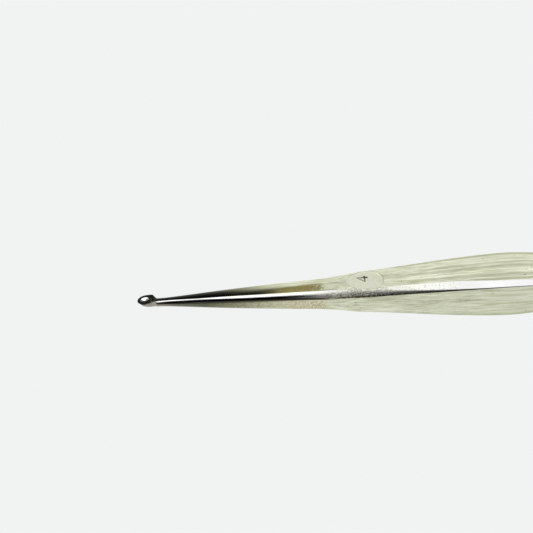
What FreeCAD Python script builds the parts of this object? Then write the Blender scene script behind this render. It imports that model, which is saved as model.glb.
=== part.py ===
import FreeCAD, Part
import math
import os

# Bone curette (sharp spoon), millimetres and degrees. The tool lies along X with its spoon at -X and
# its tail at +X. Its thumb face looks up (+Z). The origin is the middle of the tool on its own axis.
# "Reach" below means the distance back from the tip of the spoon.
# A section is drawn in the diagonal frame of the square handle: P points at the plain far-top corner
# (+Y +Z) and Q points at the polished near-top ridge (-Y +Z). "Corner" is a section's size along P.

# Driving dimensions
LENGTH = 140.0
SHOULDER_REACH = 37.6
SHELL_START_REACH = 38.0
SHELL_END_REACH = 137.0

# Corner against reach: a smooth curve through these points, for the shank and then for the handle
SHANK_START_REACH = 2.3
SHANK_CORNERS = (
    (SHANK_START_REACH, 0.76),
    (5.2, 0.83),
    (8.0, 1.03),
    (17.5, 1.79),
    (29.0, 2.55),
    (34.5, 2.85),
    (SHOULDER_REACH, 3.15),
)
BELLY_REACH = 71.3
HANDLE_CORNERS = (
    (SHELL_START_REACH, 3.19),
    (42.2, 3.79),
    (47.0, 4.20),
    (50.0, 4.47),
    (61.0, 5.51),
    (BELLY_REACH, 6.04),
    (80.0, 5.52),
    (95.0, 4.77),
    (115.0, 4.08),
    (SHELL_END_REACH, 3.55),
)
SHANK_SECTIONS = 8
FRONT_SECTIONS = 9
REAR_SECTIONS = 10

# Roundness of the shank against reach: 1 is a circle and 0 is the handle's square
SHANK_ROUNDNESS = ((SHANK_START_REACH, 1.0), (12.0, 0.6), (21.0, 0.4), (30.0, 0.25), (SHOULDER_REACH, 0.0))
SHANK_TIP_LIFT = 0.22

# Sagitta of an arc of the section as a share of its chord: positive is crowned, negative is a flute
CROWN = 0.0175
FLUTE = -0.05
END_FLUTE = -0.03
FLUTES = (
    (SHELL_START_REACH, CROWN),
    (44.5, CROWN),
    (54.0, FLUTE),
    (122.0, FLUTE),
    (SHELL_END_REACH, END_FLUTE),
)

# One face of a section, walked from the plain corner to the polished ridge: three flutes and a land
FLUTE_SHARE = 0.375
FLUTE_HEADINGS = (55.0, 45.5, 39.0)
LAND_SHARE = 0.103
LAND_HEADING = 36.0

WALL_ALONG_DIAGONAL = 1.2
SEAM_HALF_WIDTHS = (
    (SHELL_START_REACH, 0.89),
    (50.0, 0.89),
    (58.0, 0.94),
    (63.0, 0.89),
    (BELLY_REACH, 0.67),
    (SHELL_END_REACH, 0.41),
)

# Thumb plates: one on the thumb face and one on the face below it
PLATE_REACH = 43.2
PLATE_LENGTH = 7.1
PLATE_WIDTH = 5.7
PLATE_OFFSET_Y = 0.1
PLATE_HEIGHT = 2.76
PLATE_RISE_ANGLE = 1.0

# Tang inside the hollow handle
TANG_HALF_FRONT = 1.3
TANG_HALF_REAR = 1.0
TANG_END_REACH = 74.0
SPACER_REACH = 70.0
SPACER_THICKNESS = 1.5

# Tail plug
SPIGOT_LENGTH = 4.0
TAIL_DOME_RADIUS = 6.0
TAIL_BLANK_LENGTH = 4.0

# Spoon
SPOON_TILT = 13.0
SPOON_HEIGHT = 1.14
SPOON_HALF_LENGTH = 1.42
SPOON_HALF_WIDTH = 1.1
SPOON_DEPTH = 1.6
SPOON_RIM = 0.3

BEYOND = 20.0


def along(reach):
    """X of a point that lies this far back from the tip of the spoon."""
    return reach - LENGTH / 2.0


def from_diagonal(reach, p, q):
    """The point at this reach with diagonal coordinates p and q."""
    return FreeCAD.Vector(along(reach), (p - q) / math.sqrt(2.0), (p + q) / math.sqrt(2.0))


def smooth(points, reach):
    """The height at this reach of a smooth curve through (reach, height) points."""
    span = 0
    while span < len(points) - 2 and reach > points[span + 1][0]:
        span += 1
    (start, low), (end, high) = points[span], points[span + 1]
    before = points[max(span - 1, 0)]
    after = points[min(span + 2, len(points) - 1)]
    slope_in = (high - before[1]) / (end - before[0])
    slope_out = (after[1] - low) / (after[0] - start)
    step = end - start
    t = (reach - start) / step
    blend = t * t * (3.0 - 2.0 * t)
    curve = low + (high - low) * blend
    return curve + step * t * (1.0 - t) * (slope_in * (1.0 - t) - slope_out * t)


def evenly(start, end, count):
    """Reaches spread evenly from start to end, both included."""
    return [start + (end - start) * step / (count - 1) for step in range(count)]


def face_steps():
    """(share of the corner, heading) for each step from the plain corner to the ridge."""
    return [(FLUTE_SHARE, heading) for heading in FLUTE_HEADINGS] + [(LAND_SHARE, LAND_HEADING)]


def quarter_arcs(sagitta):
    """The arcs of one face for a corner of 1, as (start, middle, end), from corner to ridge."""
    arcs = []
    p, q = 1.0, 0.0
    for step, (share, heading) in enumerate(face_steps()):
        turn = math.radians(heading)
        end_p = p - share * math.cos(turn)
        end_q = q + share * math.sin(turn)
        bulge = sagitta if step < len(FLUTE_HEADINGS) else CROWN
        middle_p = (p + end_p) / 2.0 + bulge * share * math.sin(turn)
        middle_q = (q + end_q) / 2.0 + bulge * share * math.cos(turn)
        arcs.append(((p, q), (middle_p, middle_q), (end_p, end_q)))
        p, q = end_p, end_q
    return arcs


def ridge_arc(arcs):
    """The rounded ridge between the face whose arcs are given and its mirror image."""
    p, q = arcs[-1][2]
    rise = p * math.tan(math.radians(LAND_HEADING) / 2.0)
    return ((p, q), (0.0, q + rise), (-p, q))


def half_section(sagitta):
    """Arcs from the far-top corner over the near-top ridge to the near-bottom corner."""
    arcs = quarter_arcs(sagitta)
    mirrored = [tuple((-p, q) for p, q in reversed(arc)) for arc in reversed(arcs)]
    return arcs + [ridge_arc(arcs)] + mirrored


def rounded(point, roundness):
    """A section point moved towards the unit circle."""
    p, q = point
    radius = math.hypot(p, q)
    scale = 1.0 + roundness * (1.0 / radius - 1.0)
    return p * scale, q * scale


def section_wire(reach, corner, sagitta, roundness=0.0, lift=0.0):
    """A closed section of the shank or handle."""
    upper = half_section(sagitta)
    lower = [tuple((-p, -q) for p, q in arc) for arc in upper]
    edges = []
    for arc in upper + lower:
        points = []
        for point in arc:
            p, q = rounded(point, roundness)
            place = from_diagonal(reach, p * corner, q * corner)
            points.append(place + FreeCAD.Vector(0, 0, lift))
        edges.append(Part.Arc(*points).toShape())
    return Part.Wire(edges)


def handle_reaches():
    """Where the handle's sections lie: evenly spaced on each side of the belly."""
    front = evenly(SHELL_START_REACH, BELLY_REACH, FRONT_SECTIONS)
    rear = evenly(BELLY_REACH, SHELL_END_REACH, REAR_SECTIONS)
    return front + rear[1:]


def handle_section(reach):
    """The outside of the handle at this reach."""
    return section_wire(reach, smooth(HANDLE_CORNERS, reach), smooth(FLUTES, reach))


def handle_outside():
    """The handle as one solid, before it is hollowed and divided."""
    return Part.makeLoft([handle_section(reach) for reach in handle_reaches()], True)


def handle_cavity():
    """The space inside the two shells."""
    wires = []
    for reach in handle_reaches():
        corner = smooth(HANDLE_CORNERS, reach) - WALL_ALONG_DIAGONAL
        wires.append(section_wire(reach, corner, CROWN))
    return Part.makeLoft(wires, True)


def slab_between(front_reach, rear_reach):
    """Everything between two reaches."""
    corner = FreeCAD.Vector(along(front_reach), -BEYOND, -BEYOND)
    return Part.makeBox(rear_reach - front_reach, 2 * BEYOND, 2 * BEYOND, corner)


def seam_slab():
    """The slab along the diagonal plane that both brazed seams are cut from."""
    one_side = [from_diagonal(reach, half, -BEYOND) for reach, half in SEAM_HALF_WIDTHS]
    other_side = [from_diagonal(reach, -half, -BEYOND) for reach, half in reversed(SEAM_HALF_WIDTHS)]
    outline = one_side + other_side
    outline.append(outline[0])
    upward = from_diagonal(LENGTH / 2.0, 0.0, 2 * BEYOND)
    return Part.Face(Part.makePolygon(outline)).extrude(upward)


def thumb_pocket():
    """The oval that is taken off the thumb face, above its flat plate."""
    middle = FreeCAD.Vector(along(PLATE_REACH), PLATE_OFFSET_Y, PLATE_HEIGHT)
    oval = Part.Ellipse(middle, PLATE_LENGTH / 2.0, PLATE_WIDTH / 2.0)
    pocket = Part.Face(Part.Wire([oval.toShape()])).extrude(FreeCAD.Vector(0, 0, BEYOND))
    pocket.rotate(middle, FreeCAD.Vector(0, 1, 0), -PLATE_RISE_ANGLE)
    return pocket


def turned_over(shape):
    """A copy turned half a turn about the tool's axis."""
    copy = shape.copy()
    copy.rotate(FreeCAD.Vector(0, 0, 0), FreeCAD.Vector(1, 0, 0), 180.0)
    return copy


def handle_pieces():
    """The two pressed shells and the two brazed seams that join them."""
    pocket = thumb_pocket()
    walls = handle_outside().cut(handle_cavity()).cut(pocket).cut(turned_over(pocket))
    slab = seam_slab()
    shells = sorted(walls.cut(slab).Solids, key=lambda solid: solid.CenterOfMass.z)
    seams = sorted(walls.common(slab).Solids, key=lambda solid: solid.CenterOfMass.z)
    palm_shell, thumb_shell = shells
    far_seam, near_seam = seams
    return thumb_shell, palm_shell, near_seam, far_seam


def square_wire(reach, half):
    """A square section of the tang."""
    x = along(reach)
    signs = ((-1, -1), (1, -1), (1, 1), (-1, 1), (-1, -1))
    return Part.makePolygon([FreeCAD.Vector(x, y * half, z * half) for y, z in signs])


def tang():
    """The square tang, from the shoulder to its end inside the handle."""
    front = square_wire(SHOULDER_REACH, TANG_HALF_FRONT)
    rear = square_wire(TANG_END_REACH, TANG_HALF_REAR)
    return Part.makeLoft([front, rear], True, True)


def shank():
    """The tapering shank, from inside the spoon to its shoulder."""
    wires = []
    for reach in evenly(SHANK_START_REACH, SHOULDER_REACH, SHANK_SECTIONS):
        corner = smooth(SHANK_CORNERS, reach)
        roundness = smooth(SHANK_ROUNDNESS, reach)
        lift = SHANK_TIP_LIFT * (SHOULDER_REACH - reach) / SHOULDER_REACH
        wires.append(section_wire(reach, corner, CROWN, roundness, lift))
    return Part.makeLoft(wires, True)


def ellipsoid(half_length, half_width, depth):
    """An ellipsoid about the origin."""
    scale = FreeCAD.Matrix()
    scale.scale(half_length, half_width, depth)
    return Part.makeSphere(1.0).transformGeometry(scale)


def spoon_place():
    """Where the middle of the spoon's mouth lies, with the mouth leaning towards the tip."""
    reach = SPOON_HALF_LENGTH * math.cos(math.radians(SPOON_TILT))
    middle = FreeCAD.Vector(along(reach), 0, SPOON_HEIGHT)
    return FreeCAD.Placement(middle, FreeCAD.Rotation(FreeCAD.Vector(0, 1, 0), -SPOON_TILT))


def spoon_and_shank():
    """Spoon, shank and tang: one forging."""
    bowl = ellipsoid(SPOON_HALF_LENGTH, SPOON_HALF_WIDTH, SPOON_DEPTH)
    hollow = ellipsoid(SPOON_HALF_LENGTH - SPOON_RIM, SPOON_HALF_WIDTH - SPOON_RIM, SPOON_DEPTH - SPOON_RIM)
    side = 2.0 * SPOON_DEPTH
    above = Part.makeBox(2 * side, 2 * side, side, FreeCAD.Vector(-side, -side, 0))
    for shape in (bowl, hollow, above):
        shape.Placement = spoon_place().multiply(shape.Placement)
    outside = bowl.cut(above).fuse(shank())
    return outside.cut(hollow).cut(above).fuse(tang()).removeSplitter()


def neck_braze():
    """The thin ring of braze between the shank's shoulder and the ends of the shells."""
    front = section_wire(SHOULDER_REACH, SHANK_CORNERS[-1][1], CROWN)
    rear = handle_section(SHELL_START_REACH)
    return Part.makeLoft([front, rear], True, True).cut(tang())


def tang_spacer():
    """The plate that centres the tang inside the shells."""
    plate = handle_cavity().common(slab_between(SPACER_REACH, SPACER_REACH + SPACER_THICKNESS))
    return plate.cut(tang())


def tail_plug():
    """The rounded end of the handle, with a spigot that fills the end of the cavity."""
    end_corner = HANDLE_CORNERS[-1][1]
    blank_end = SHELL_END_REACH + TAIL_BLANK_LENGTH
    wires = [section_wire(reach, end_corner, END_FLUTE) for reach in (SHELL_END_REACH, blank_end)]
    dome = Part.makeSphere(TAIL_DOME_RADIUS, FreeCAD.Vector(along(LENGTH - TAIL_DOME_RADIUS), 0, 0))
    end = Part.makeLoft(wires, True, True).common(dome)
    spigot = handle_cavity().common(slab_between(SHELL_END_REACH - SPIGOT_LENGTH, SHELL_END_REACH))
    return end.fuse(spigot).removeSplitter()


def main():
    os.makedirs("parts", exist_ok=True)
    thumb_shell, palm_shell, near_seam, far_seam = handle_pieces()
    nodes = {
        "spoon_shank": spoon_and_shank(),
        "thumb_shell": thumb_shell,
        "palm_shell": palm_shell,
        "near_seam_braze": near_seam,
        "far_seam_braze": far_seam,
        "neck_braze": neck_braze(),
        "tang_spacer": tang_spacer(),
        "tail_plug": tail_plug(),
    }
    for name, shape in nodes.items():
        box = shape.BoundBox
        print(name, "solids", len(shape.Solids), "valid", shape.isValid(), "volume", round(shape.Volume, 2))
        print("   box", [round(v, 3) for v in (box.XMin, box.XMax, box.YMin, box.YMax, box.ZMin, box.ZMax)])
        shape.exportStep("parts/" + name + ".step")


main()
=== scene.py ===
import math

import bmesh
import bpy
import numpy as np
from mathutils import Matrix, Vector, noise


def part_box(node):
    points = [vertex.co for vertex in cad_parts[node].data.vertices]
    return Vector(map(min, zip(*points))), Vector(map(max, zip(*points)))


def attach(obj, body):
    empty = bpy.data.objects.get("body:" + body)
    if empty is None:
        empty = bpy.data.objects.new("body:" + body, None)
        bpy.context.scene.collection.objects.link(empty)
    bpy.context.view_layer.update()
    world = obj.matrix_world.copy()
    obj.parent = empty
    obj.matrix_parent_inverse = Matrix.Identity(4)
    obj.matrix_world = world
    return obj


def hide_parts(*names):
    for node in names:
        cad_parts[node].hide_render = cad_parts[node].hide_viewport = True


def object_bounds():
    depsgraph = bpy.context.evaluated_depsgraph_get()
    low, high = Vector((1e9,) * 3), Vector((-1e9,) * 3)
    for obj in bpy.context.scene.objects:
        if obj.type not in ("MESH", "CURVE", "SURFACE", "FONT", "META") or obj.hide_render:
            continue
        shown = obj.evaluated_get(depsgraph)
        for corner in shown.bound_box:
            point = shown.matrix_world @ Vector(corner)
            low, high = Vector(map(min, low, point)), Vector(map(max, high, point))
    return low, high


# A bone curette: hollow fluted handle of two shells and two brazed seams, tapering shank, small spoon.
# "Reach" is the distance back from the tip of the spoon, in design millimetres, as all sizes are here.
# A section is drawn in the handle's diagonal frame: P points at the plain far-top corner (+Y +Z) and
# Q at the polished near-top ridge (-Y +Z). "Corner" is a section's size along P.

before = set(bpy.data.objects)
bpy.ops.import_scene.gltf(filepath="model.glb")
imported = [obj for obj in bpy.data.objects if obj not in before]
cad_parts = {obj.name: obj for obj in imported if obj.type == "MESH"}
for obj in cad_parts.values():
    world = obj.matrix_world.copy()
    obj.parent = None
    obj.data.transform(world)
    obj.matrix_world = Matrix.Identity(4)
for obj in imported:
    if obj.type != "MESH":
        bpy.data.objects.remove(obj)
CAD_LOW, CAD_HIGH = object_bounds()
DESIGN_LENGTH = 140.0
MM = (CAD_HIGH.x - CAD_LOW.x) / DESIGN_LENGTH
AXIS_Y = (CAD_LOW.y + CAD_HIGH.y) / 2.0
AXIS_Z = (CAD_LOW.z + CAD_HIGH.z) / 2.0
ROOT_2 = math.sqrt(2.0)


def reach_of(x):
    """The reach of a place in the frame."""
    return (x - CAD_LOW.x) / MM


SHOULDER = reach_of(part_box("neck_braze")[0].x)
SHELL_START = reach_of(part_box("thumb_shell")[0].x)
SHELL_END = reach_of(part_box("thumb_shell")[1].x)
TANG_END = reach_of(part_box("spoon_shank")[1].x)
PLUG_START = reach_of(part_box("tail_plug")[0].x)

# Where the head of the spoon ends and the plain shank begins
HEAD_END = 3.9

# Outline of the shank and the handle: corner against reach
SHANK_CORNERS = (
    (2.3, 0.76), (5.2, 0.83), (8.0, 1.03), (17.5, 1.79), (29.0, 2.55), (34.5, 2.85), (SHOULDER, 3.15),
)
BELLY = 71.3
HANDLE_CORNERS = (
    (SHELL_START, 3.19), (42.2, 3.79), (47.0, 4.20), (50.0, 4.47), (61.0, 5.49), (BELLY, 6.01),
    (80.0, 5.50), (95.0, 4.77), (115.0, 4.08), (SHELL_END, 3.55),
)

# Roundness of the shank: 1 is a circle and 0 is the section at the neck
SHANK_ROUNDNESS = ((2.3, 1.0), (12.0, 0.6), (21.0, 0.4), (30.0, 0.25), (SHOULDER, 0.0))

# How far the front end of the shank is bent up from the handle's axis
SHANK_TIP_LIFT = 0.22

# Half thickness of the square tang at its two ends
TANG_HALF_FRONT = 1.3
TANG_HALF_REAR = 1.0

# One face of a section, from the plain corner to the ridge: three flutes and a land, then the ridge.
# A flute's arc rises by this share of its chord: it is crowned if positive and hollow if negative.
CROWN = 0.0175
FLUTE = -0.05
END_FLUTE = -0.03
FLUTES = ((SHELL_START, CROWN), (44.5, CROWN), (54.0, FLUTE), (122.0, FLUTE), (SHELL_END, END_FLUTE))
FLUTE_SHARE = 0.375
FLUTE_HEADINGS = (55.0, 45.5, 39.0)
LAND_SHARE = 0.103
LAND_HEADING = math.radians(36.0)
FLUTE_STEPS = 10
EDGE_STEPS = 16
WALL_ALONG_DIAGONAL = 1.2

# A seam's upper and lower edges, measured along P, and how its ground band leans. It is rounded near
# the neck and flat with a rolled lower edge further back. Leans are in degrees from the diagonal Q.
SEAM_UPPER = ((SHELL_START, 0.72), (48.0, 0.84), (58.0, 1.10), (62.0, 1.10), (BELLY, 0.78), (SHELL_END, 0.42))
SEAM_LOWER = (
    (SHELL_START, 1.06), (45.0, 1.02), (50.0, 0.90), (62.0, 0.72), (66.0, 0.64), (BELLY, 0.56),
    (SHELL_END, 0.40),
)
SEAM_TOP_LEANS = ((SHELL_START, 18.0), (43.0, 12.0), (50.0, 14.0), (62.0, 8.0), (SHELL_END, 6.0))
SEAM_END_LEANS = ((SHELL_START, -34.0), (50.0, -30.0), (66.0, -24.0), (72.0, -8.0), (SHELL_END, -6.0))
SEAM_ROLL_STARTS = (
    (SHELL_START, 0.0), (47.0, 0.10), (54.0, 0.50), (60.0, 0.70), (68.0, 0.85), (SHELL_END, 0.9),
)
SEAM_STEPS = 24

# Thumb plates: flat ovals pressed into the upper and the lower face
PLATE_REACH = 43.2
PLATE_HALF_LENGTH = 3.55
PLATE_HALF_WIDTH = 2.85
PLATE_OFFSET_Y = 0.1
PLATE_HEIGHT = 2.76
PLATE_RISE = math.tan(math.radians(1.0))
PLATE_WALL_SLOPE = 7.0
PLATE_TOLERANCE = 0.01
PLATE_FADE = 0.2

# Vertices closer than this are merged, and edges sharper than this stay sharp
MERGE_DISTANCE = 0.0005
SHARP_ANGLE = math.radians(38.0)


def place(reach, y, z):
    """A point of the frame from design millimetres about the tool's axis."""
    return Vector((CAD_LOW.x + reach * MM, AXIS_Y + y * MM, AXIS_Z + z * MM))


def from_diagonal(p, q):
    """(y, z) of a point given along the section's diagonals."""
    return (p - q) / ROOT_2, (p + q) / ROOT_2


def smooth(points, reach):
    """The height at this reach of a smooth curve through (reach, height) points."""
    reach = min(max(reach, points[0][0]), points[-1][0])
    span = 0
    while span < len(points) - 2 and reach > points[span + 1][0]:
        span += 1
    (start, low), (end, high) = points[span], points[span + 1]
    before = points[max(span - 1, 0)]
    after = points[min(span + 2, len(points) - 1)]
    slope_in = (high - before[1]) / (end - before[0])
    slope_out = (after[1] - low) / (after[0] - start)
    step = end - start
    t = (reach - start) / step
    curve = low + (high - low) * t * t * (3.0 - 2.0 * t)
    return curve + step * t * (1.0 - t) * (slope_in * (1.0 - t) - slope_out * t)


def ease(low, high, value):
    """0 below low, 1 above high, and a smooth rise between them."""
    t = min(max((value - low) / (high - low), 0.0), 1.0)
    return t * t * (3.0 - 2.0 * t)


def stations(*zones):
    """Reaches from the first zone's start on, each zone as (start, end, step)."""
    reaches = []
    for start, end, step in zones:
        count = max(1, round((end - start) / step))
        reaches += [start + (end - start) * i / count for i in range(count)]
    return reaches + [zones[-1][1]]


def face_points(sagitta):
    """One face of a section with a corner of 1: points from the plain corner to the end of the land."""
    points = [(1.0, 0.0)]
    p, q = 1.0, 0.0
    for heading in FLUTE_HEADINGS:
        turn = math.radians(heading)
        for step in range(1, FLUTE_STEPS + 1):
            t = (1.0 - math.cos(math.pi * step / FLUTE_STEPS)) / 2.0
            along = FLUTE_SHARE * t
            out = FLUTE_SHARE * sagitta * 4.0 * t * (1.0 - t)
            points.append((
                p - along * math.cos(turn) + out * math.sin(turn),
                q + along * math.sin(turn) + out * math.cos(turn),
            ))
        p, q = points[-1]
    for t in (0.5, 1.0):
        along = LAND_SHARE * t
        points.append((p - along * math.cos(LAND_HEADING), q + along * math.sin(LAND_HEADING)))
    return points


def ridge_point(land_end, angle):
    """The point of the rounded ridge whose normal leans by this angle from the diagonal Q."""
    radius = land_end[0] / math.sin(LAND_HEADING)
    middle = land_end[1] - radius * math.cos(LAND_HEADING)
    return radius * math.sin(angle), middle + radius * math.cos(angle)


def ridge_arc(land_end, steps):
    """Points along the rounded ridge, from the end of the land to the diagonal Q."""
    return [ridge_point(land_end, LAND_HEADING * (1.0 - i / steps)) for i in range(1, steps + 1)]


def outline_q(face, p):
    """The height along Q of a section's outline at this P."""
    outline = (face + ridge_arc(face[-1], 8))[::-1]
    return float(np.interp(p, [across for across, up in outline], [up for across, up in outline]))


def edge_path(face, edge):
    """One face from the plain corner to the seam's edge, which lies this far from the diagonal Q."""
    fixed = 2 * FLUTE_STEPS + 1
    start = face[fixed - 1][0]
    points = face[:fixed]
    for step in range(1, EDGE_STEPS + 1):
        p = start + (edge - start) * step / EDGE_STEPS
        points.append((p, outline_q(face, p)))
    return points


def shell_path(reach, corner, sagitta):
    """(p, q) from the near seam's upper edge, round the plain corner, to the far seam's edge."""
    face = face_points(sagitta)
    near = edge_path(face, smooth(SEAM_UPPER, reach) / corner)
    far = edge_path(face, smooth(SEAM_LOWER, reach) / corner)
    upper = [(p * corner, q * corner) for p, q in reversed(near)]
    lower = [(p * corner, -q * corner) for p, q in far[1:]]
    return upper + lower


def seam_path(reach, corner, sagitta):
    """(p, q) across one seam, from its upper edge to its lower edge."""
    face = face_points(sagitta)
    top = smooth(SEAM_UPPER, reach) / corner
    low = smooth(SEAM_LOWER, reach) / corner
    top_q, low_q = outline_q(face, top), outline_q(face, low)
    top_lean, end_lean = smooth(SEAM_TOP_LEANS, reach), smooth(SEAM_END_LEANS, reach)
    roll_start = smooth(SEAM_ROLL_STARTS, reach)
    stride = (top + low) / SEAM_STEPS
    rises = [0.0]
    for i in range(SEAM_STEPS):
        share = min(max(((i + 0.5) / SEAM_STEPS - roll_start) / (1.0 - roll_start), 0.0), 1.0)
        lean = math.radians(top_lean + (end_lean - top_lean) * share)
        rises.append(rises[-1] + math.tan(lean) * stride)
    points = []
    for i, rise in enumerate(rises):
        t = i / SEAM_STEPS
        q = top_q + rise + (low_q - top_q - rises[-1]) * t
        points.append(((top - (top + low) * t) * corner, q * corner))
    return points


def plate_level(reach):
    """Height of the floor of the upper thumb plate."""
    return PLATE_HEIGHT + PLATE_RISE * (reach - PLATE_REACH)


def beyond_plate(reach, y):
    """How far a point is outside the upper plate's oval, as a share of the oval's size."""
    oval = math.hypot((reach - PLATE_REACH) / PLATE_HALF_LENGTH, (y - PLATE_OFFSET_Y) / PLATE_HALF_WIDTH)
    return max(oval - 1.0, 0.0)


def pocketed(reach, y, z):
    """The height of a point of the handle after the oval thumb plates are pressed into it."""
    side = math.copysign(1.0, z)
    ceiling = plate_level(reach) + PLATE_WALL_SLOPE * beyond_plate(reach, y * side)
    return side * min(abs(z), ceiling)


def mesh_from_rings(name, rings):
    """A closed surface through rings with the same number of points, with strips of faces as its ends."""
    count = len(rings[0])
    vertices = [point for ring in rings for point in ring]
    faces = []
    for r in range(len(rings) - 1):
        low, high = r * count, (r + 1) * count
        for i in range(count):
            j = (i + 1) % count
            faces.append((low + i, low + j, high + j, high + i))
    for base in (0, len(vertices) - count):
        for i in range(count // 2 - 1):
            faces.append((base + i, base + i + 1, base + count - 2 - i, base + count - 1 - i))
    return build(name, vertices, faces)


def build(name, vertices, faces):
    """Makes the object, merges its doubled points and turns its normals outwards."""
    mesh = bpy.data.meshes.new(name)
    mesh.from_pydata([tuple(v) for v in vertices], [], faces)
    work = bmesh.new()
    work.from_mesh(mesh)
    bmesh.ops.remove_doubles(work, verts=work.verts, dist=MERGE_DISTANCE * MM)
    bmesh.ops.recalc_face_normals(work, faces=work.faces)
    work.to_mesh(mesh)
    work.free()
    shade(mesh)
    obj = bpy.data.objects.new(name, mesh)
    bpy.context.scene.collection.objects.link(obj)
    return obj


def shade(mesh):
    """Smooth shading, with the true edges kept sharp."""
    for polygon in mesh.polygons:
        polygon.use_smooth = True
    mesh.set_sharp_from_angle(angle=SHARP_ANGLE)


# --- Handle ---

def handle_ring(reach, half_turned):
    """One closed loop of a shell: its outside, then back along its inside."""
    corner = smooth(HANDLE_CORNERS, reach)
    outside = []
    for p, q in shell_path(reach, corner, smooth(FLUTES, reach)):
        y, z = from_diagonal(p, q)
        outside.append((y, pocketed(reach, y, z)))
    inside = [from_diagonal(p, q) for p, q in shell_path(reach, corner - WALL_ALONG_DIAGONAL, CROWN)]
    loop = outside + inside[::-1]
    turn = -1.0 if half_turned else 1.0
    return [place(reach, y * turn, z * turn) for y, z in loop]


def shell(name, half_turned):
    """One pressed half shell of the handle."""
    plate_start = PLATE_REACH - PLATE_HALF_LENGTH - 0.6
    plate_end = PLATE_REACH + PLATE_HALF_LENGTH + 0.9
    zones = (
        (SHELL_START, plate_start, 0.2),
        (plate_start, plate_end, 0.09),
        (plate_end, SHELL_END, 0.4),
    )
    return mesh_from_rings(name, [handle_ring(reach, half_turned) for reach in stations(*zones)])


def seam(name, half_turned):
    """The braze along one ridge, ground flush with the shells."""
    turn = -1.0 if half_turned else 1.0
    rings = []
    for reach in stations((SHELL_START, 50.0, 0.1), (50.0, 66.0, 0.15), (66.0, SHELL_END, 0.5)):
        corner = smooth(HANDLE_CORNERS, reach)
        outside = []
        for p, q in seam_path(reach, corner, smooth(FLUTES, reach)):
            y, z = from_diagonal(p, q)
            outside.append((y, pocketed(reach, y, z)))
        inner = seam_path(reach, corner - WALL_ALONG_DIAGONAL, CROWN)
        inside = [from_diagonal(p, q) for p, q in inner]
        rings.append([place(reach, y * turn, z * turn) for y, z in outside + inside[::-1]])
    return mesh_from_rings(name, rings)


def mark(piece, name, value_of):
    """Stores a number at each vertex, worked out from its reach, y and z in design millimetres."""
    values = []
    for vertex in piece.data.vertices:
        y, z = (vertex.co.y - AXIS_Y) / MM, (vertex.co.z - AXIS_Z) / MM
        values.append(value_of(reach_of(vertex.co.x), y, z))
    layer = piece.data.attributes.new(name, "FLOAT", "POINT")
    layer.data.foreach_set("value", values)


def share_of_corner(reach, y, z):
    """P of a point of the handle as a share of the section's corner."""
    return (y + z) / ROOT_2 / smooth(HANDLE_CORNERS, reach)


def across_near_seam(reach, y, z):
    """0 at the near seam's upper edge and 1 at its lower edge."""
    top, low = smooth(SEAM_UPPER, reach), smooth(SEAM_LOWER, reach)
    return (top - (y + z) / ROOT_2) / (top + low)


def across_far_seam(reach, y, z):
    """The same across the far seam, which is the near one turned half round."""
    return across_near_seam(reach, -y, -z)


def pressed(reach, y, z):
    """1 on the floor of a thumb plate, falling to 0 at the top of the wall round it."""
    side = math.copysign(1.0, z)
    beyond = beyond_plate(reach, y * side)
    if abs(z) < plate_level(reach) + PLATE_WALL_SLOPE * beyond - PLATE_TOLERANCE:
        return 0.0
    return 1.0 - min(beyond / PLATE_FADE, 1.0)


# --- Numeral ---

# Middle of the numeral, its size, and the round cutter that sinks its strokes
NUMERAL_REACH = 42.95
NUMERAL_Y = 0.76
NUMERAL_HEIGHT = 2.1
NUMERAL_WIDTH = 1.45
STROKE_RADIUS = 0.19
STROKE_DEPTH = 0.05

# The numeral's one stroke as (across, up) shares of its width and height: a plain figure four
NUMERAL_STROKE = ((0.72, 0.0), (0.72, 1.0), (0.0, 0.30), (1.0, 0.30))


def stamp_numeral(piece):
    """Sinks a generic size numeral into the thumb plate, its top towards the spoon."""
    curve = bpy.data.curves.new("numeral_cutter", "CURVE")
    curve.dimensions = "3D"
    curve.bevel_depth = STROKE_RADIUS * MM
    curve.bevel_resolution = 3
    curve.use_fill_caps = True
    line = curve.splines.new("POLY")
    line.points.add(len(NUMERAL_STROKE) - 1)
    for point, (across, up) in zip(line.points, NUMERAL_STROKE):
        reach = NUMERAL_REACH + NUMERAL_HEIGHT * (0.5 - up)
        y = NUMERAL_Y + NUMERAL_WIDTH * (across - 0.5)
        point.co = (*place(reach, y, plate_level(reach) - STROKE_DEPTH), 1.0)
    cutter = bpy.data.objects.new("numeral_cutter", curve)
    bpy.context.scene.collection.objects.link(cutter)
    bpy.context.view_layer.update()
    solid = bpy.data.objects.new("numeral_solid", bpy.data.meshes.new_from_object(cutter))
    bpy.context.scene.collection.objects.link(solid)
    solid.data.materials.clear()
    solid.data.materials.append(bpy.data.materials["stamped_groove"])
    cut = piece.modifiers.new("stamp", "BOOLEAN")
    cut.operation = "DIFFERENCE"
    cut.solver = "EXACT"
    cut.use_self = True
    cut.material_mode = "TRANSFER"
    cut.object = solid
    graph = bpy.context.evaluated_depsgraph_get()
    stamped = bpy.data.meshes.new_from_object(piece.evaluated_get(graph))
    piece.modifiers.clear()
    piece.data = stamped
    shade(stamped)
    bpy.data.objects.remove(solid)
    bpy.data.objects.remove(cutter)


# --- Spoon and shank ---

# Angles round a section of the shank or head, from level on the near side over the top
RING_POINTS = 128
RING_ANGLES = [math.pi - 2.0 * math.pi * i / RING_POINTS for i in range(RING_POINTS)]

# The mouth of the spoon leans towards the tip, and the bowl below it is nearly a cone
MOUTH_TILT = math.radians(13.0)
MOUTH_HALF_LENGTH = 1.42
MOUTH_HALF_WIDTH = 1.1
MOUTH_HEIGHT = 1.14
MOUTH_MIDDLE = MOUTH_HALF_LENGTH * math.cos(MOUTH_TILT)
RIM = 0.50
BOWL_DEPTH = 0.42
BOWL_POWER = 1.2
BOWL_EDGE_DEPTH = 0.03

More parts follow.
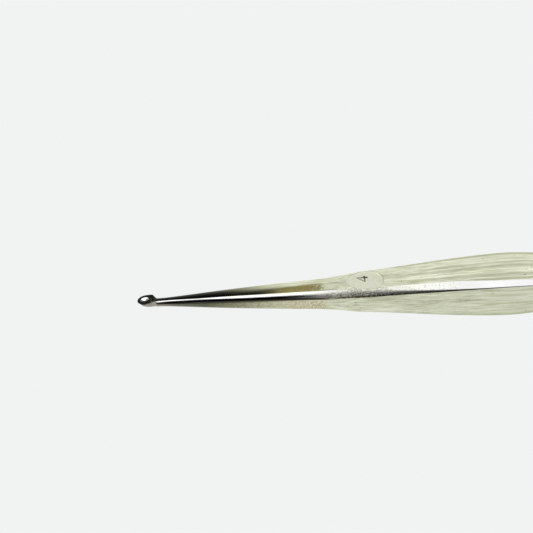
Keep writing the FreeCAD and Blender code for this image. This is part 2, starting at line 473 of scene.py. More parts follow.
# Behind the mouth the head narrows to the shank over this length, by a curve of this power
HEAD_TAPER = 2.0
HEAD_TAPER_POWER = 1.3

# Height of the head's lowest line against reach
UNDERSIDE = (
    (0.0, 0.72), (0.45, 0.62), (0.85, 0.04), (1.4, -0.40), (2.0, -0.65), (2.7, -0.73), (HEAD_END, -0.63),
)

# Reach of the first section, of the start of the heel's fall and of the end of the head's finish
TIP_START = 0.004
HEEL_START = 2.85
HEAD_PAINT_END = HEAD_END - 0.35


def neck_outline():
    """Half the section at the neck, round from the plain corner, as (angle, radius) with a corner of 1."""
    corner = HANDLE_CORNERS[0][1]
    face = face_points(CROWN)
    upper = edge_path(face, SEAM_UPPER[0][1] / corner)
    ridge = [(p / corner, q / corner) for p, q in seam_path(SHELL_START, corner, CROWN)]
    lower = [(-p, q) for p, q in reversed(edge_path(face, SEAM_LOWER[0][1] / corner))]
    return [(math.atan2(q, p), math.hypot(p, q)) for p, q in upper + ridge[1:-1] + lower]


NECK_OUTLINE = neck_outline()
NECK_ANGLES = [angle for angle, radius in NECK_OUTLINE]
NECK_RADII = [radius for angle, radius in NECK_OUTLINE]


def section_radius(angle, roundness):
    """Distance from the axis to a section with a corner of 1, at this angle from the corner."""
    radius = float(np.interp(angle % math.pi, NECK_ANGLES, NECK_RADII))
    return radius + (1.0 - radius) * roundness


def shank_lift(reach):
    """Height of the middle of the shank above the handle's axis."""
    return SHANK_TIP_LIFT * (SHOULDER - reach) / SHOULDER


def shank_ring(reach):
    """A section of the shank."""
    corner = smooth(SHANK_CORNERS, reach)
    roundness = smooth(SHANK_ROUNDNESS, reach)
    lift = shank_lift(reach)
    ring = []
    for angle in RING_ANGLES:
        radius = corner * section_radius(angle - math.pi / 4.0, roundness)
        ring.append(place(reach, radius * math.cos(angle), lift + radius * math.sin(angle)))
    return ring


def mouth_height(reach):
    """Height of the plane of the spoon's mouth."""
    return MOUTH_HEIGHT + (reach - MOUTH_MIDDLE) * math.tan(MOUTH_TILT)


def head_half_width(reach, shank_radius):
    """Half width of the head seen from above."""
    if reach < MOUTH_MIDDLE:
        t = 1.0 - reach / MOUTH_MIDDLE
        return MOUTH_HALF_WIDTH * math.sqrt(max(1.0 - t * t, 0.0))
    t = min((reach - MOUTH_MIDDLE) / HEAD_TAPER, 1.0)
    return shank_radius + (MOUTH_HALF_WIDTH - shank_radius) * (1.0 - t * t) ** HEAD_TAPER_POWER


def hollow_depth(reach, y):
    """How far the bowl is sunk below the plane of its mouth."""
    inner_length = (MOUTH_HALF_LENGTH - RIM) * math.cos(MOUTH_TILT)
    r = math.hypot((reach - MOUTH_MIDDLE) / inner_length, y / (MOUTH_HALF_WIDTH - RIM))
    return BOWL_DEPTH * max(1.0 - r ** BOWL_POWER, 0.0)


def head_ring(reach):
    """A section of the head: across the mouth from side to side, then round below."""
    radius = smooth(SHANK_CORNERS, reach)
    lift = shank_lift(reach)
    half = head_half_width(reach, radius)
    to_shank = ease(HEEL_START, HEAD_END, reach)
    side = mouth_height(min(reach, HEEL_START)) * (1.0 - to_shank) + lift * to_shank
    top = mouth_height(min(reach, HEEL_START)) * (1.0 - to_shank) + (lift + radius) * to_shank
    bottom = smooth(UNDERSIDE, reach)
    ring = []
    for angle in RING_ANGLES:
        y = half * math.cos(angle)
        if angle >= 0.0:
            z = side + (top - side) * math.sin(angle) - hollow_depth(reach, y)
        else:
            z = side + (side - bottom) * math.sin(angle)
        ring.append(place(reach, y, z))
    return ring


def tang_ring(reach, half):
    """A square section of the tang, inside the handle."""
    ring = []
    for angle in RING_ANGLES:
        scale = half / max(abs(math.cos(angle)), abs(math.sin(angle)))
        ring.append(place(reach, scale * math.cos(angle), scale * math.sin(angle)))
    return ring


def spoon_and_shank(name):
    """Spoon, shank and tang in one closed surface."""
    rings = [head_ring(reach) for reach in stations((TIP_START, 0.2, 0.016), (0.2, HEAD_END, 0.04))]
    rings += [shank_ring(reach) for reach in stations((HEAD_END + 0.1, SHOULDER, 0.3))]
    rings += [tang_ring(SHOULDER, TANG_HALF_FRONT), tang_ring(TANG_END, TANG_HALF_REAR)]
    return mesh_from_rings(name, rings)


def paint_spoon(piece):
    """Gives the head and the inside of its bowl their own materials."""
    for material in (head_steel("head_steel_dark"), bowl_steel("bowl_steel_bright")):
        piece.data.materials.append(material)
    for polygon in piece.data.polygons:
        reach = reach_of(polygon.center.x)
        y = (polygon.center.y - AXIS_Y) / MM
        if reach < HEAD_PAINT_END:
            inside = hollow_depth(reach, y) > BOWL_EDGE_DEPTH and polygon.normal.z > 0.0
            polygon.material_index = 2 if inside else 1


# --- Neck ring and tail plug ---

# The bead's height and unevenness as shares of the corner, and how fine its lumps are round and along it
BEAD_HEIGHT = 0.004
BEAD_ROUGHNESS = 0.009
BEAD_LUMPS = 4.0
BEAD_TWIST = 5.0


def neck_ring(name):
    """The thin ring of braze, with a slightly uneven bead."""
    front, rear = SHANK_CORNERS[-1][1], HANDLE_CORNERS[0][1]
    rings = []
    for reach in stations((SHOULDER, SHELL_START, 0.05)):
        t = (reach - SHOULDER) / (SHELL_START - SHOULDER)
        corner = front + (rear - front) * t
        outside = []
        for angle in RING_ANGLES:
            spot = (BEAD_LUMPS * math.cos(angle), BEAD_LUMPS * math.sin(angle), BEAD_TWIST * t)
            lump = noise.noise(spot)
            bead = 1.0 + (BEAD_HEIGHT + BEAD_ROUGHNESS * lump) * math.sin(math.pi * t)
            radius = corner * bead * section_radius(angle - math.pi / 4.0, 0.0)
            outside.append(place(reach, radius * math.cos(angle), radius * math.sin(angle)))
        rings.append((outside, tang_ring(reach, TANG_HALF_FRONT)))
    return tube_between(name, rings)


def tube_between(name, rings):
    """A closed ring-shaped solid from (outside, inside) loops."""
    count = len(rings[0][0])
    vertices = [point for outside, inside in rings for point in outside + inside]
    faces = []
    for r in range(len(rings) - 1):
        for side in (0, count):
            low, high = r * 2 * count + side, (r + 1) * 2 * count + side
            for i in range(count):
                j = (i + 1) % count
                faces.append((low + i, low + j, high + j, high + i))
    for base in (0, (len(rings) - 1) * 2 * count):
        for i in range(count):
            j = (i + 1) % count
            faces.append((base + i, base + j, base + count + j, base + count + i))
    return build(name, vertices, faces)


# The rounded tail is part of a ball
DOME_RADIUS = 6.0
DOME_STEPS = 40
DOME_TIP_RADIUS = 0.002


def closed_outline(corner, sagitta):
    """All round a fluted section with no seams, as (y, z)."""
    face = face_points(sagitta)
    face += ridge_arc(face[-1], 4)
    half = face + [(-p, q) for p, q in reversed(face[:-1])]
    whole = half + [(-p, -q) for p, q in half[1:-1]]
    return [from_diagonal(p * corner, q * corner) for p, q in whole]


def tail_plug(name):
    """The rounded end of the handle and its spigot."""
    corner = HANDLE_CORNERS[-1][1]
    middle = DESIGN_LENGTH - DOME_RADIUS
    rings = []
    for reach in stations((PLUG_START, SHELL_END, 0.5)):
        inner = smooth(HANDLE_CORNERS, reach) - WALL_ALONG_DIAGONAL
        rings.append([place(reach, y, z) for y, z in closed_outline(inner, CROWN)])
    for i in range(DOME_STEPS + 1):
        reach = SHELL_END + (DESIGN_LENGTH - SHELL_END) * math.sin(math.pi / 2.0 * i / DOME_STEPS)
        limit = math.sqrt(max(DOME_RADIUS ** 2 - (reach - middle) ** 2, 0.0)) + DOME_TIP_RADIUS
        ring = []
        for y, z in closed_outline(corner, END_FLUTE):
            scale = min(1.0, limit / math.hypot(y, z))
            ring.append(place(reach, y * scale, z * scale))
        rings.append(ring)
    return mesh_from_rings(name, rings)


# --- Shader helpers ---

def new_material(name):
    """A metal node material: the material, its node tree and its Principled shader."""
    material = bpy.data.materials.new(name)
    material.use_nodes = True
    tree = material.node_tree
    shader = tree.nodes["Principled BSDF"]
    shader.inputs["Metallic"].default_value = 1.0
    return material, tree, shader


def add(tree, kind, links=(), **values):
    """Adds a node, sets its properties or input values by name, and links its inputs."""
    node = tree.nodes.new(kind)
    for key, value in values.items():
        if hasattr(node, key):
            setattr(node, key, value)
        else:
            node.inputs[key.replace("_", " ")].default_value = value
    for socket, source in links:
        tree.links.new(source, node.inputs[socket])
    return node


def math_node(tree, operation, first, second=0.0):
    """One step of arithmetic on sockets or numbers."""
    node = add(tree, "ShaderNodeMath", operation=operation)
    for socket, value in zip(node.inputs, (first, second)):
        if isinstance(value, (int, float)):
            socket.default_value = value
        else:
            tree.links.new(value, socket)
    return node.outputs[0]


def product(tree, first, *others):
    """Sockets or numbers multiplied together."""
    for other in others:
        first = math_node(tree, "MULTIPLY", first, other)
    return first


def total(tree, first, second):
    """The sum of two sockets or numbers."""
    return math_node(tree, "ADD", first, second)


def difference(tree, first, second):
    """The first socket or number less the second."""
    return math_node(tree, "SUBTRACT", first, second)


def between(tree, source, low, high):
    """0 with the source at low, 1 with it at high, and a smooth rise between. Low may be the larger."""
    node = add(tree, "ShaderNodeMapRange", [("Value", source)], interpolation_type="SMOOTHSTEP")
    node.inputs["From Min"].default_value = low
    node.inputs["From Max"].default_value = high
    return node.outputs["Result"]


def band(tree, source, start, full, fall, end):
    """0 up to start, 1 from full to fall, 0 from end on, and smooth slopes between."""
    return product(tree, between(tree, source, start, full), between(tree, source, end, fall))


def mix(tree, factor, first, second):
    """Colour mixed from first to second by the factor."""
    node = add(tree, "ShaderNodeMix", data_type="RGBA")
    for socket, value in ((node.inputs[0], factor), (node.inputs[6], first), (node.inputs[7], second)):
        if isinstance(value, tuple):
            socket.default_value = (*value, 1.0)
        elif isinstance(value, (int, float)):
            socket.default_value = value
        else:
            tree.links.new(value, socket)
    return node.outputs[2]


def ramp(tree, source, stops):
    """A colour ramp through (position, colour) stops."""
    node = add(tree, "ShaderNodeValToRGB", [("Fac", source)])
    elements = node.color_ramp.elements
    while len(elements) < len(stops):
        elements.new(0.5)
    for element, (position, colour) in zip(elements, stops):
        element.position = position
        element.color = (*colour, 1.0)
    return node.outputs["Color"]


def grey(value):
    """A grey colour."""
    return (value, value, value)


def stretched_noise(tree, across, along, detail=4.0, roughness=0.6):
    """Noise drawn out along the tool, with features per design millimetre across and along."""
    where = add(tree, "ShaderNodeTexCoord")
    mapped = add(tree, "ShaderNodeMapping", [("Vector", where.outputs["Object"])])
    mapped.inputs["Scale"].default_value = (along / MM, across / MM, across / MM)
    made = add(tree, "ShaderNodeTexNoise", [("Vector", mapped.outputs["Vector"])])
    made.inputs["Scale"].default_value = 1.0
    made.inputs["Detail"].default_value = detail
    made.inputs["Roughness"].default_value = roughness
    return made.outputs["Fac"]


def offset(tree, axis, origin):
    """How far a shaded point lies along one axis from the origin given, in design millimetres."""
    where = add(tree, "ShaderNodeTexCoord")
    split = add(tree, "ShaderNodeSeparateXYZ", [("Vector", where.outputs["Object"])])
    return math_node(tree, "DIVIDE", difference(tree, split.outputs[axis], origin), MM)


def reach_socket(tree):
    """The reach of a shaded point."""
    return offset(tree, "X", CAD_LOW.x)


def side_socket(tree):
    """How far a shaded point lies to the far side of the tool's axis."""
    return offset(tree, "Y", AXIS_Y)


def height_socket(tree):
    """How far a shaded point lies above the tool's axis."""
    return offset(tree, "Z", AXIS_Z)


def attribute(tree, name):
    """A number stored at the piece's vertices."""
    return add(tree, "ShaderNodeAttribute", attribute_name=name).outputs["Fac"]


def paint(tree, shader, colour, roughness):
    """Gives the shader its colour and its roughness."""
    tree.links.new(colour, shader.inputs["Base Color"])
    tree.links.new(roughness, shader.inputs["Roughness"])


def bump(tree, shader, height, distance, strength=1.0):
    """A bump of this many design millimetres."""
    node = add(tree, "ShaderNodeBump", [("Height", height)])
    node.inputs["Distance"].default_value = distance * MM
    node.inputs["Strength"].default_value = strength
    tree.links.new(node.outputs["Normal"], shader.inputs["Normal"])


# --- Shells ---

# Painted highlight and shade of a fluted face against the share of the corner: light on a crest, darker
# beside it
FLUTE_LIGHT_AND_SHADE = (
    (0.135, 0.66), (0.155, 0.50), (0.19, 0.20), (0.225, 0.50), (0.25, 0.62), (0.27, 0.46), (0.345, 0.32),
    (0.40, 0.50), (0.43, 0.68), (0.445, 0.46), (0.465, 0.36), (0.49, 0.54), (0.51, 0.60), (0.54, 0.40),
    (0.60, 0.34), (0.66, 0.50), (0.72, 0.34), (0.75, 0.54), (0.775, 0.64), (0.80, 0.50), (0.87, 0.52),
    (0.915, 0.56), (0.95, 0.30), (0.985, 0.34), (1.00, 0.50),
)
SATIN_DARK = (0.42, 0.44, 0.28)
SATIN = (0.72, 0.74, 0.55)
SATIN_LIGHT = (0.92, 0.93, 0.80)
RUST_SPOT = (0.20, 0.15, 0.06)
PLATE_DARK = (0.68, 0.70, 0.55)
PLATE_LIGHT = (0.80, 0.82, 0.67)


def satin_streaks(tree):
    """Long soft streaks along the tool."""
    return stretched_noise(tree, 3.0, 0.06, 2.0)


def satin(tree, streaks):
    """Colour and roughness of matt, pale, slightly warm steel with fine lines along the tool."""
    hairlines = stretched_noise(tree, 7.0, 0.10, 2.0)
    clouds = stretched_noise(tree, 0.6, 0.12, 3.0)
    tone = total(tree, product(tree, streaks, 0.35), product(tree, clouds, 0.25))
    tone = total(tree, tone, product(tree, hairlines, 0.40))
    colour = ramp(tree, tone, [(0.36, SATIN_DARK), (0.50, SATIN), (0.62, SATIN_LIGHT)])
    return colour, ramp(tree, clouds, [(0.3, grey(0.46)), (0.7, grey(0.56))])


def satin_steel(name):
    """The shells: satin steel with a painted highlight on the crest and painted shade in the valley of each
    flute.
    """
    material, tree, shader = new_material(name)
    shader.inputs["Metallic"].default_value = 0.6
    streaks = satin_streaks(tree)
    colour, rough = satin(tree, streaks)
    share = attribute(tree, "share")
    plate = attribute(tree, "pressed")
    # The painted highlights and shade of the flutes show from behind the thumb plate on, and more on the
    # faces with a positive share
    strength = total(tree, 0.45, product(tree, between(tree, share, -0.02, 0.02), 0.55))
    strength = product(tree, strength, between(tree, reach_socket(tree), 46.0, 56.0))
    strength = product(tree, strength, between(tree, streaks, 0.22, 0.42))
    crest_light_and_shade = ramp(tree, math_node(tree, "ABSOLUTE", share), [(at, grey(tone)) for at, tone in FLUTE_LIGHT_AND_SHADE])
    # Painted shade beside each crest and a painted highlight on it
    painted_shade = product(tree, between(tree, crest_light_and_shade, 0.50, 0.22), strength, 0.9)
    painted_highlight = product(tree, between(tree, crest_light_and_shade, 0.50, 0.68), strength, 0.8)
    colour = mix(tree, painted_shade, colour, SATIN_DARK)
    colour = mix(tree, painted_highlight, colour, SATIN_LIGHT)
    # A few small rust spots
    spots = between(tree, stretched_noise(tree, 1.3, 1.1, 2.0), 0.70, 0.75)
    colour = mix(tree, product(tree, spots, 0.8), colour, RUST_SPOT)
    # The smooth floor of a thumb plate, and painted shade on the wall round it
    speck = stretched_noise(tree, 2.2, 2.2, 4.0)
    smooth_plate = ramp(tree, speck, [(0.30, PLATE_DARK), (0.70, PLATE_LIGHT)])
    colour = mix(tree, between(tree, plate, 0.75, 1.0), colour, smooth_plate)
    # Painted shade on the wall of the thumb plate
    painted_wall_shade = band(tree, plate, 0.1, 0.5, 0.8, 1.0)
    colour = mix(tree, product(tree, painted_wall_shade, 0.9), colour, SATIN_DARK)
    paint(tree, shader, colour, rough)
    bump(tree, shader, stretched_noise(tree, 9.0, 1.4, 5.0, 0.7), 0.010)
    return material


# --- Brazed seams ---

# Clean braze, then braze worn matt near the neck in the upper and the lower part of the band, the lower part
# paler with painted light
FRONT_BRAZE = (0.300, 0.302, 0.298)
BELLY_BRAZE = (0.355, 0.357, 0.353)
WORN_BRAZE = (0.42, 0.43, 0.40)
LOW_BRAZE_PAINTED_LIGHT = (0.86, 0.85, 0.78)
BRAZE_FROST = (0.16, 0.17, 0.12)
BRAZE_SPECK = (0.20, 0.19, 0.12)
BRAZE_PIT = (0.10, 0.10, 0.08)
# Tones of the ragged dark line along the lower edge, towards the belly and at the neck
LOW_EDGE_DARK = (0.055, 0.046, 0.024)
LOW_EDGE_NECK_BROWN = (0.17, 0.13, 0.065)
GROUND_PLATE = (0.66, 0.68, 0.52)


def polished_seam(name):
    """Braze: bright and smooth further back, frosted, pitted and stained near the neck."""
    material, tree, shader = new_material(name)
    reach = reach_socket(tree)
    across = attribute(tree, "across")
    plate = attribute(tree, "pressed")
    pits = stretched_noise(tree, 3.8, 3.0, 4.0, 0.75)
    # From the polish at the belly to the wear at the neck
    worn = between(tree, reach, 66.0, 44.0)
    bright = mix(tree, between(tree, reach, 61.0, 70.0), FRONT_BRAZE, BELLY_BRAZE)
    colour = mix(tree, worn, bright, WORN_BRAZE)
    # Painted light: the lower half of the worn band near the neck is given a paler tone
    painted_light_low_half = product(tree, between(tree, across, 0.40, 0.68), between(tree, reach, 50.0, 41.0))
    colour = mix(tree, painted_light_low_half, colour, LOW_BRAZE_PAINTED_LIGHT)
    # Frosting beside the thumb plate, specks wherever it is worn, and larger pits behind the plate
    frosted = product(tree, band(tree, reach, 39.0, 41.5, 45.0, 49.0), between(tree, pits, 0.42, 0.54))
    colour = mix(tree, product(tree, frosted, 0.85), colour, BRAZE_FROST)
    specks = product(tree, between(tree, pits, 0.50, 0.57), worn)
    colour = mix(tree, product(tree, specks, 0.8), colour, BRAZE_SPECK)
    dents = product(tree, band(tree, reach, 43.0, 49.0, 57.0, 64.0), between(tree, pits, 0.61, 0.66))
    colour = mix(tree, product(tree, dents, 0.9), colour, BRAZE_PIT)
    # A ragged dark line along the lower edge, wider and paler towards the neck
    low_edge = difference(tree, 1.0, product(tree, between(tree, reach, 70.0, 40.0), 0.16))
    line = between(tree, difference(tree, across, low_edge), -0.10, 0.04)
    line = product(tree, line, between(tree, reach, 72.0, 62.0), between(tree, pits, 0.34, 0.50))
    edge_line_tone = mix(tree, between(tree, reach, 47.0, 39.0), LOW_EDGE_DARK, LOW_EDGE_NECK_BROWN)
    colour = mix(tree, line, colour, edge_line_tone)
    # Where the thumb plate cuts into the seam it is as matt as the plate
    colour = mix(tree, plate, colour, GROUND_PLATE)
    rough = total(tree, 0.24, product(tree, between(tree, reach, 58.0, 41.0), 0.19))
    rough = total(tree, rough, product(tree, plate, 0.2))
    paint(tree, shader, colour, rough)
    bump(tree, shader, product(tree, pits, worn), 0.05, 0.8)
    return material


# --- Shank and neck ---

# Steel of the shank, against the reach as a share of the neck's; its darkening over the front part is a
# painted dark reflection
SHANK_STEEL_AND_DARK_REFLECTION = (
    (0.00, (0.36, 0.35, 0.28)), (0.10, (0.34, 0.33, 0.27)), (0.18, (0.20, 0.20, 0.15)),
    (0.34, (0.14, 0.15, 0.10)), (0.46, (0.27, 0.27, 0.17)), (0.58, (0.46, 0.46, 0.31)),
    (0.80, (0.66, 0.65, 0.43)), (1.00, (0.72, 0.73, 0.54)),
)
SHANK_RIDGE = (0.44, 0.44, 0.43)
LOW_MOTTLE = (0.10, 0.085, 0.045)
FAR_SIDE_REFLECTION = (0.014, 0.015, 0.012)
SMOKE_FRONT = (0.14, 0.14, 0.075)
SMOKE_REAR = (0.30, 0.29, 0.14)
HEAT_STAIN = (0.26, 0.215, 0.062)
LOW_STAIN = (0.46, 0.33, 0.13)
REFLECTION_LINE_FRONT = (0.006, 0.006, 0.005)
REFLECTION_LINE_REAR = (0.075, 0.05, 0.02)
NECK_PIT = (0.17, 0.15, 0.10)


# The shank's corner in its material: it grows evenly with the reach
CORNER_AT_TIP = 0.35
CORNER_GROWTH = 0.0757


def shank_share(tree, reach, height, side, tip):
    """P of a point of the shank as a share of the section's corner, moved a little near the tip."""
    corner = total(tree, product(tree, reach, CORNER_GROWTH), CORNER_AT_TIP)
    p = math_node(tree, "DIVIDE", total(tree, height, side), ROOT_2)
    return difference(tree, math_node(tree, "DIVIDE", p, corner), product(tree, tip, 0.2))


def dark_line(tree, share, reach, tip):
    """Where the painted dark reflection lies below the bright ridge: a long wedge that widens to the tip."""
    early = difference(tree, 0.51, product(tree, reach, 0.0229))
    late = difference(tree, 0.205, product(tree, reach, 0.0125))
    top_edge = math_node(tree, "MINIMUM", math_node(tree, "MAXIMUM", early, late), 0.25)
    top_edge = difference(tree, top_edge, product(tree, tip, 0.12))
    low_edge = difference(tree, -0.112, product(tree, reach, 0.0065))
    low_edge = difference(tree, low_edge, product(tree, tip, 0.3))
    under_top = between(tree, difference(tree, share, top_edge), 0.03, -0.04)
    over_low = between(tree, difference(tree, share, low_edge), -0.05, 0.03)
    return product(tree, under_top, over_low, band(tree, reach, 3.2, 5.5, 35.0, 37.2))


def shank_steel(name):
    """The shank: dark mirror steel at the spoon that turns matt, heat stained and pale at the neck."""
    material, tree, shader = new_material(name)
    reach = reach_socket(tree)
    side, height = side_socket(tree), height_socket(tree)
    tip = between(tree, reach, 12.0, 5.0)
    share = shank_share(tree, reach, height, side, tip)
    cloud = stretched_noise(tree, 0.9, 0.22, 5.0, 0.65)
    speck = stretched_noise(tree, 3.0, 1.6, 4.0, 0.7)
    dots = stretched_noise(tree, 5.0, 4.0, 2.0)
    pale, matt = satin(tree, satin_streaks(tree))
    # Steel darkened towards the front by a painted dark reflection, with the bright ridge along it
    far = math_node(tree, "DIVIDE", reach, SHELL_START)
    # Painted light: the lower half of the worn ridge near the neck is paler
    worn = mix(tree, between(tree, share, 0.06, -0.06), WORN_BRAZE, LOW_BRAZE_PAINTED_LIGHT)
    bright = mix(tree, between(tree, reach, 28.0, 37.0), SHANK_RIDGE, worn)
    ridge = product(tree, band(tree, share, -0.32, -0.2, 0.42, 0.52), between(tree, reach, 2.9, 4.6))
    colour = mix(tree, ridge, ramp(tree, far, SHANK_STEEL_AND_DARK_REFLECTION), bright)
    # Brown mottling on the lower face
    under = between(tree, share, -0.30, -0.42)
    mottle = product(tree, under, band(tree, reach, 5.0, 12.0, 24.0, 33.0), between(tree, speck, 0.46, 0.62))
    colour = mix(tree, product(tree, mottle, 0.5), colour, LOW_MOTTLE)
    # The handle's satin finish, which fades out along the shank
    to_satin = product(tree, between(tree, share, 0.20, 0.30), between(tree, reach, 22.0, 30.0))
    low_satin = product(tree, under, between(tree, reach, 21.0, 35.0))
    to_satin = math_node(tree, "MAXIMUM", to_satin, low_satin)
    colour = mix(tree, to_satin, colour, pale)
    # A painted dark reflection on the far side of the front half
    outward = difference(tree, share, product(tree, between(tree, reach, 19.0, 11.0), 0.25))
    far_reflection_mask = product(tree, between(tree, share, 0.28, 0.42), between(tree, outward, 1.30, 0.75))
    far_reflection_mask = product(tree, far_reflection_mask, between(tree, reach, 25.0, 16.0), 0.9)
    colour = mix(tree, far_reflection_mask, colour, FAR_SIDE_REFLECTION)
    # The heat stain beside the ridge: a smoky haze, then brown flecks that end raggedly at the neck
    q = math_node(tree, "DIVIDE", difference(tree, height, side), ROOT_2)
    topside = total(tree, 0.25, product(tree, between(tree, q, -0.5, 0.4), 0.75))
    above = product(tree, band(tree, share, 0.20, 0.30, 0.60, 0.78), topside)
    haze = product(tree, above, band(tree, reach, 14.0, 27.0, 32.5, 35.8))
    haze = product(tree, haze, between(tree, cloud, 0.15, 0.48), 0.9)
    smoky = mix(tree, between(tree, reach, 25.0, 32.0), SMOKE_FRONT, SMOKE_REAR)
    colour = mix(tree, haze, colour, smoky)
    ragged = total(tree, reach, product(tree, difference(tree, speck, 0.5), 6.0))
    stain = product(tree, above, between(tree, reach, 22.0, 29.0), between(tree, ragged, 36.0, 34.8))
    stain = product(tree, stain, between(tree, speck, 0.36, 0.54), 0.95)
    colour = mix(tree, stain, colour, HEAT_STAIN)
    below = product(tree, between(tree, share, -0.30, -0.50), band(tree, reach, 25.0, 31.0, 34.0, 37.5))
    below = product(tree, below, between(tree, dots, 0.44, 0.58), 0.8)
    colour = mix(tree, below, colour, LOW_STAIN)
    # The painted dark reflection below the ridge, and the pits at the neck
    reflection_line_tone = mix(tree, between(tree, reach, 19.0, 31.0), REFLECTION_LINE_FRONT, REFLECTION_LINE_REAR)
    colour = mix(tree, product(tree, dark_line(tree, share, reach, tip), 0.95), colour, reflection_line_tone)
    pitted = product(tree, band(tree, share, -0.42, -0.34, 0.02, 0.22), between(tree, reach, 34.0, 36.5))
    pitted = product(tree, pitted, between(tree, speck, 0.46, 0.58), 0.7)
    colour = mix(tree, pitted, colour, NECK_PIT)
    # Mirror polish where it is bare, matt where it is satin
    polish = ramp(tree, cloud, [(0.3, grey(0.06)), (0.7, grey(0.11))])
    polish = total(tree, polish, product(tree, between(tree, reach, 27.0, 37.5), 0.33))
    paint(tree, shader, colour, mix(tree, to_satin, polish, matt))
    tree.links.new(difference(tree, 1.0, product(tree, to_satin, 0.4)), shader.inputs["Metallic"])
    bump(tree, shader, stretched_noise(tree, 14.0, 0.5, 3.0, 0.6), 0.004)
    return material


# --- Spoon ---

HEAD_BROWN = (0.22, 0.22, 0.14)
HEAD_TAN = (0.44, 0.42, 0.36)
HEAD_REFLECTION_BLACK = (0.022, 0.026, 0.02)
BOWL_SHADE = (0.04, 0.045, 0.035)
BOWL_GREY = (0.36, 0.38, 0.36)
BOWL_WHITE = (0.50, 0.52, 0.50)


def head_steel(name):
    """Outside of the spoon: polished, with a nearly black painted reflection round the rim, browner and
    duller underneath.
    """
    material, tree, shader = new_material(name)
    reach, side, height = reach_socket(tree), side_socket(tree), height_socket(tree)
    speck = stretched_noise(tree, 3.0, 2.0, 4.0)
    under = ramp(tree, speck, [(0.38, HEAD_BROWN), (0.62, HEAD_TAN)])
    # Painted dark reflection down to a little below the plane of the mouth, as far back as the mouth and
    # round the far side
    slope = product(tree, difference(tree, reach, MOUTH_MIDDLE), math.tan(MOUTH_TILT))
    depth = difference(tree, total(tree, slope, MOUTH_HEIGHT), height)
    black_reflection = math_node(tree, "MAXIMUM", between(tree, reach, 2.85, 2.45), between(tree, side, -0.35, 0.0))
    black_reflection = product(tree, black_reflection, between(tree, depth, 0.36, 0.12))
    # The top of the raised heel carries the painted dark reflection too
    level = total(tree, height, product(tree, side, 0.5))
    heel_reflection = product(tree, between(tree, level, 0.76, 1.0), between(tree, reach, 2.5, 2.75))
    colour = mix(tree, math_node(tree, "MAXIMUM", black_reflection, heel_reflection), under, HEAD_REFLECTION_BLACK)
    paint(tree, shader, colour, ramp(tree, speck, [(0.3, grey(0.10)), (0.7, grey(0.22))]))
    bump(tree, shader, speck, 0.006)
    return material


def bowl_steel(name):
    """Inside of the spoon: finely ground steel, bright on its far wall, with painted shade on its near one.
    """
    material, tree, shader = new_material(name)
    speck = stretched_noise(tree, 2.0, 2.0, 3.0)
    bright = ramp(tree, speck, [(0.3, BOWL_GREY), (0.7, BOWL_WHITE)])
    # Painted shade on the near wall of the bowl
    colour = mix(tree, between(tree, side_socket(tree), -0.14, 0.0), BOWL_SHADE, bright)
    paint(tree, shader, colour, ramp(tree, speck, [(0.3, grey(0.20)), (0.7, grey(0.26))]))
    return material


# --- Numeral's groove and hidden spacer ---

def groove(name):
    """The bottom of the stamped numeral, dark with painted shade."""
    material, tree, shader = new_material(name)
    speck = stretched_noise(tree, 6.0, 6.0)
    # Painted shade in the groove
    colour = ramp(tree, speck, [(0.3, (0.055, 0.05, 0.028)), (0.7, (0.12, 0.11, 0.065))])
    paint(tree, shader, colour, ramp(tree, speck, [(0.3, grey(0.45)), (0.7, grey(0.6))]))
    return material


def plain_steel(name):
    """Machined steel of the hidden spacer."""
    material, tree, shader = new_material(name)
    marks = stretched_noise(tree, 8.0, 8.0)
    colour = ramp(tree, marks, [(0.3, (0.50, 0.50, 0.48)), (0.7, (0.62, 0.62, 0.60))])
    paint(tree, shader, colour, ramp(tree, marks, [(0.3, grey(0.3)), (0.7, grey(0.45))]))
    bump(tree, shader, marks, 0.01)
    return material


# --- Stage ---

PAPER = (0.880, 0.896, 0.890)
FLOOR_LENGTHS = 40.0
FLOOR_GAP = 0.02


def floor():
    """A pale floor that glows evenly, as a light table does."""
    size = FLOOR_LENGTHS * (CAD_HIGH.x - CAD_LOW.x)
    z = CAD_LOW.z - FLOOR_GAP * MM
    corners = [(-size, -size, z), (size, -size, z), (size, size, z), (-size, size, z)]
    mesh = bpy.data.meshes.new("floor")
    mesh.from_pydata(corners, [], [(0, 1, 2, 3)])
    obj = bpy.data.objects.new("floor", mesh)
    bpy.context.scene.collection.objects.link(obj)
    material = bpy.data.materials.new("floor_paper")
    material.use_nodes = True
    tree = material.node_tree
    tree.nodes.clear()
    out = add(tree, "ShaderNodeOutputMaterial")
    glow = add(tree, "ShaderNodeEmission")
    glow.inputs["Color"].default_value = (*PAPER, 1.0)
    tree.links.new(glow.outputs["Emission"], out.inputs["Surface"])
    mesh.materials.append(material)
    obj.visible_glossy = False


# Brightness of the soft strip lights against the angle round the tool: 0 is level on the viewer's
# side, 90 is overhead, 180 is level on the far side and 270 is straight down.
STUDIO = (
    (0.0, 0.18), (14.0, 0.15), (18.0, 0.0), (38.0, 0.0), (53.0, 3.0), (88.0, 3.0), (95.0, 0.0), (112.0, 0.05),
    (125.0, 0.25), (140.0, 0.60), (155.0, 0.95), (200.0, 0.95), (270.0, 0.85), (330.0, 0.80), (342.0, 0.18),
    (360.0, 0.18),
)


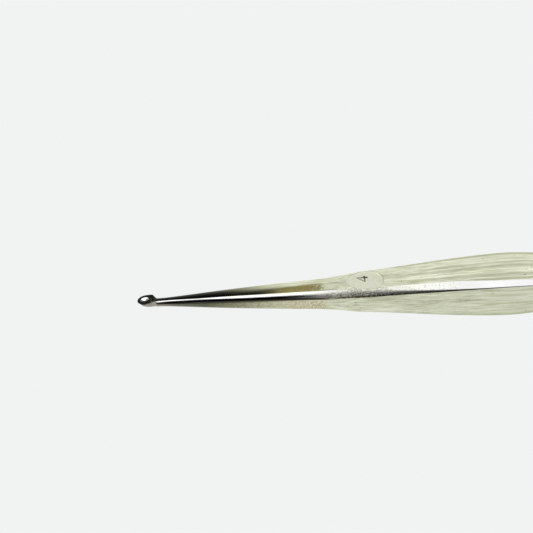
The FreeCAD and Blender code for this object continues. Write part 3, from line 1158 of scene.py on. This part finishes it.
def studio():
    """Soft strip lights all round the tool, and a plain pale backdrop behind it."""
    world = bpy.data.worlds.new("studio")
    bpy.context.scene.world = world
    world.use_nodes = True
    tree = world.node_tree
    tree.nodes.clear()
    where = add(tree, "ShaderNodeTexCoord")
    split = add(tree, "ShaderNodeSeparateXYZ", [("Vector", where.outputs["Generated"])])
    towards = math_node(tree, "MULTIPLY", split.outputs["Y"], -1.0)
    angle = math_node(tree, "ARCTAN2", split.outputs["Z"], towards)
    turns = math_node(tree, "DIVIDE", angle, 2.0 * math.pi)
    share = math_node(tree, "FRACT", total(tree, turns, 1.0))
    bands = ramp(tree, share, [(degrees / 360.0, grey(value)) for degrees, value in STUDIO])
    lights = add(tree, "ShaderNodeBackground", [("Color", bands)])
    lights.inputs["Strength"].default_value = 1.0
    backdrop = add(tree, "ShaderNodeBackground")
    backdrop.inputs["Color"].default_value = (*PAPER, 1.0)
    path = add(tree, "ShaderNodeLightPath")
    chosen = add(tree, "ShaderNodeMixShader")
    tree.links.new(path.outputs["Is Camera Ray"], chosen.inputs[0])
    tree.links.new(lights.outputs[0], chosen.inputs[1])
    tree.links.new(backdrop.outputs[0], chosen.inputs[2])
    out = add(tree, "ShaderNodeOutputWorld")
    tree.links.new(chosen.outputs[0], out.inputs["Surface"])


# Camera: the tool is seen from above its near side, turned a little so that its tail is further away.
# Lengths are in design millimetres.
VIEW_ELEVATION = math.radians(45.5)
VIEW_YAW = math.radians(4.37)
PICTURE_WIDTH = 101.3
TIP_LEFT_OF_CENTRE = 24.49
TIP_BELOW_CENTRE = 7.16
CAMERA_DISTANCE = 300.0
SENSOR_WIDTH = 36.0
CLIP_START = 0.01
CLIP_END = 50.0


def camera():
    """A long lens that looks down at the front half of the tool, from its near side."""
    away = Vector((
        math.sin(VIEW_YAW) * math.cos(VIEW_ELEVATION),
        math.cos(VIEW_YAW) * math.cos(VIEW_ELEVATION),
        -math.sin(VIEW_ELEVATION),
    ))
    right = Vector((math.cos(VIEW_YAW), -math.sin(VIEW_YAW), 0.0))
    up = right.cross(away)
    target = place(0.0, 0.0, 0.0) + (right * TIP_LEFT_OF_CENTRE + up * TIP_BELOW_CENTRE) * MM
    data = bpy.data.cameras.new("camera")
    data.sensor_width = SENSOR_WIDTH
    data.lens = SENSOR_WIDTH * CAMERA_DISTANCE / PICTURE_WIDTH
    data.clip_start = CLIP_START
    data.clip_end = CLIP_END
    obj = bpy.data.objects.new("camera", data)
    bpy.context.scene.collection.objects.link(obj)
    obj.location = target - away * CAMERA_DISTANCE * MM
    obj.rotation_euler = away.to_track_quat("-Z", "Y").to_euler()
    bpy.context.scene.camera = obj


def main():
    """Builds, paints and attaches every piece, then sets the stage."""
    shell_steel = satin_steel("shell_steel_satin")
    seam_steel = polished_seam("seam_polished")
    shank = shank_steel("shank_steel_tinted")
    groove("stamped_groove")
    pieces = (
        (spoon_and_shank("spoon_and_shank"), "spoon_shank", "forged_steel", shank),
        (shell("upper_shell", False), "thumb_shell", "shell_steel", shell_steel),
        (shell("lower_shell", True), "palm_shell", "shell_steel", shell_steel),
        (seam("near_seam", False), "near_seam_braze", "seam_braze", seam_steel),
        (seam("far_seam", True), "far_seam_braze", "seam_braze", seam_steel),
        (neck_ring("neck_ring"), "neck_braze", "neck_braze", shank),
        (tail_plug("tail_end"), "tail_plug", "plug_steel", shell_steel),
    )
    for piece, node, slot, material in pieces:
        piece.data.materials.append(material)
        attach(piece, "root")
        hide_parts(node)
        if node == "spoon_shank":
            paint_spoon(piece)
        if node == "thumb_shell":
            stamp_numeral(piece)
        mark(piece, "share", share_of_corner)
        mark(piece, "pressed", pressed)
        if node == "near_seam_braze":
            mark(piece, "across", across_near_seam)
        if node == "far_seam_braze":
            mark(piece, "across", across_far_seam)
    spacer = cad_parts["tang_spacer"]
    spacer.material_slots[0].material = plain_steel("spacer_steel")
    floor()
    studio()
    camera()
    bpy.context.scene.view_settings.view_transform = "Standard"


main()
